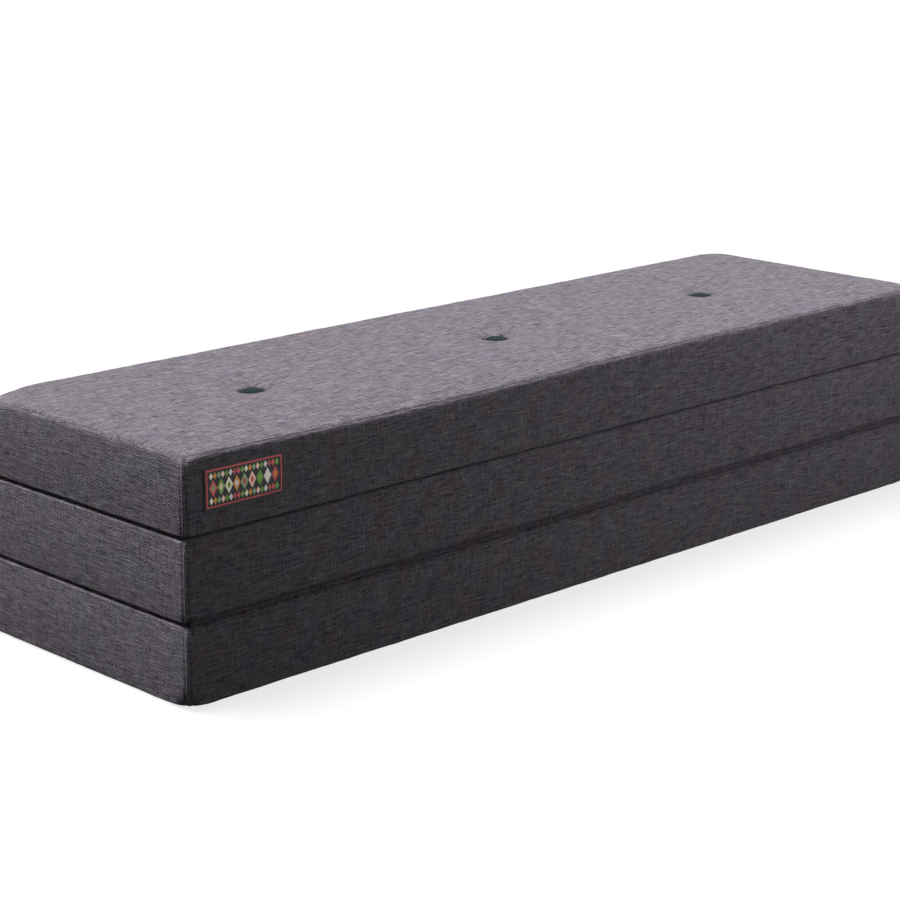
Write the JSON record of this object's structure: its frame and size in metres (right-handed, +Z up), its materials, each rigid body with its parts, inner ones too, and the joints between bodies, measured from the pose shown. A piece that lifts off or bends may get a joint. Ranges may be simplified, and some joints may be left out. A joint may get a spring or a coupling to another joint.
{
  "type": "folding mattress",
  "caption": "Long upholstered foam mattress folded in three like an accordion, button tufted, with cloth hinges along its creases, zipped covers and a woven label.",
  "frame": {"origin": "on the floor under the middle of the folded stack", "axes": "+X along the panels, away from the end with the label; -Y out of the long front face that carries the label; +Z up"},
  "size_m": [1.4, 0.4011, 0.3038],
  "materials": {
    "cover_cloth": "matte",
    "foam": "matte",
    "button_cloth": "matte",
    "twine": "matte",
    "zip_tape": "matte",
    "zip_metal": "satin",
    "label": "matte"
  },
  "bodies": {
    "bottom_panel": {"bottom_foam_core": "foam", "bottom_upper_face_cloth": "cover_cloth", "bottom_lower_face_cloth": "cover_cloth", "bottom_side_band": "cover_cloth", "bottom_upper_button_1": "button_cloth", "bottom_lower_button_1": "button_cloth", "bottom_tuft_twine_1": "twine", "bottom_upper_button_2": "button_cloth", "bottom_lower_button_2": "button_cloth", "bottom_tuft_twine_2": "twine", "bottom_upper_button_3": "button_cloth", "bottom_lower_button_3": "button_cloth", "bottom_tuft_twine_3": "twine", "bottom_zip_upper_tape": "zip_tape", "bottom_zip_lower_tape": "zip_tape", "front_fold_hinge_cloth": "cover_cloth"},
    "bottom_zip_slider": {"bottom_zip_slider": "zip_metal"},
    "bottom_zip_pull": {"bottom_zip_pull": "zip_metal"},
    "middle_panel": {"middle_foam_core": "foam", "middle_upper_face_cloth": "cover_cloth", "middle_lower_face_cloth": "cover_cloth", "middle_side_band": "cover_cloth", "middle_upper_button_1": "button_cloth", "middle_lower_button_1": "button_cloth", "middle_tuft_twine_1": "twine", "middle_upper_button_2": "button_cloth", "middle_lower_button_2": "button_cloth", "middle_tuft_twine_2": "twine", "middle_upper_button_3": "button_cloth", "middle_lower_button_3": "button_cloth", "middle_tuft_twine_3": "twine", "middle_zip_upper_tape": "zip_tape", "middle_zip_lower_tape": "zip_tape", "back_fold_hinge_cloth": "cover_cloth"},
    "middle_zip_slider": {"middle_zip_slider": "zip_metal"},
    "middle_zip_pull": {"middle_zip_pull": "zip_metal"},
    "top_panel": {"top_foam_core": "foam", "top_upper_face_cloth": "cover_cloth", "top_lower_face_cloth": "cover_cloth", "top_side_band": "cover_cloth", "top_upper_button_1": "button_cloth", "top_lower_button_1": "button_cloth", "top_tuft_twine_1": "twine", "top_upper_button_2": "button_cloth", "top_lower_button_2": "button_cloth", "top_tuft_twine_2": "twine", "top_upper_button_3": "button_cloth", "top_lower_button_3": "button_cloth", "top_tuft_twine_3": "twine", "top_zip_upper_tape": "zip_tape", "top_zip_lower_tape": "zip_tape", "woven_label": "label"},
    "top_zip_slider": {"top_zip_slider": "zip_metal"},
    "top_zip_pull": {"top_zip_pull": "zip_metal"}
  },
  "joints": [
    {"name": "lower_fold", "type": "hinge", "parent": "bottom_panel", "child": "middle_panel", "pos_m": [0, -0.2009, 0.1012], "axis": [1, 0, 0], "range_deg": [0, 180], "deforming": ["front_fold_hinge_cloth"]},
    {"name": "upper_fold", "type": "hinge", "parent": "middle_panel", "child": "top_panel", "pos_m": [0, 0.2009, 0.2026], "axis": [-1, 0, 0], "range_deg": [0, 180], "deforming": ["back_fold_hinge_cloth"]},
    {"name": "bottom_zip_slide", "type": "slide", "parent": "bottom_panel", "child": "bottom_zip_slider", "axis": [0, 1, 0], "range_m": [0, 0.3]},
    {"name": "bottom_zip_pull_turn", "type": "hinge", "parent": "bottom_zip_slider", "child": "bottom_zip_pull", "pos_m": [0.6985, -0.1514, 0.0505], "axis": [0, 0, -1], "range_deg": [0, 180]},
    {"name": "middle_zip_slide", "type": "slide", "parent": "middle_panel", "child": "middle_zip_slider", "axis": [0, 1, 0], "range_m": [0, 0.3]},
    {"name": "middle_zip_pull_turn", "type": "hinge", "parent": "middle_zip_slider", "child": "middle_zip_pull", "pos_m": [0.6985, -0.1514, 0.1519], "axis": [0, 0, -1], "range_deg": [0, 180]},
    {"name": "top_zip_slide", "type": "slide", "parent": "top_panel", "child": "top_zip_slider", "axis": [0, 1, 0], "range_m": [0, 0.3]},
    {"name": "top_zip_pull_turn", "type": "hinge", "parent": "top_zip_slider", "child": "top_zip_pull", "pos_m": [0.6985, -0.1514, 0.2533], "axis": [0, 0, -1], "range_deg": [0, 180]}
  ]
}
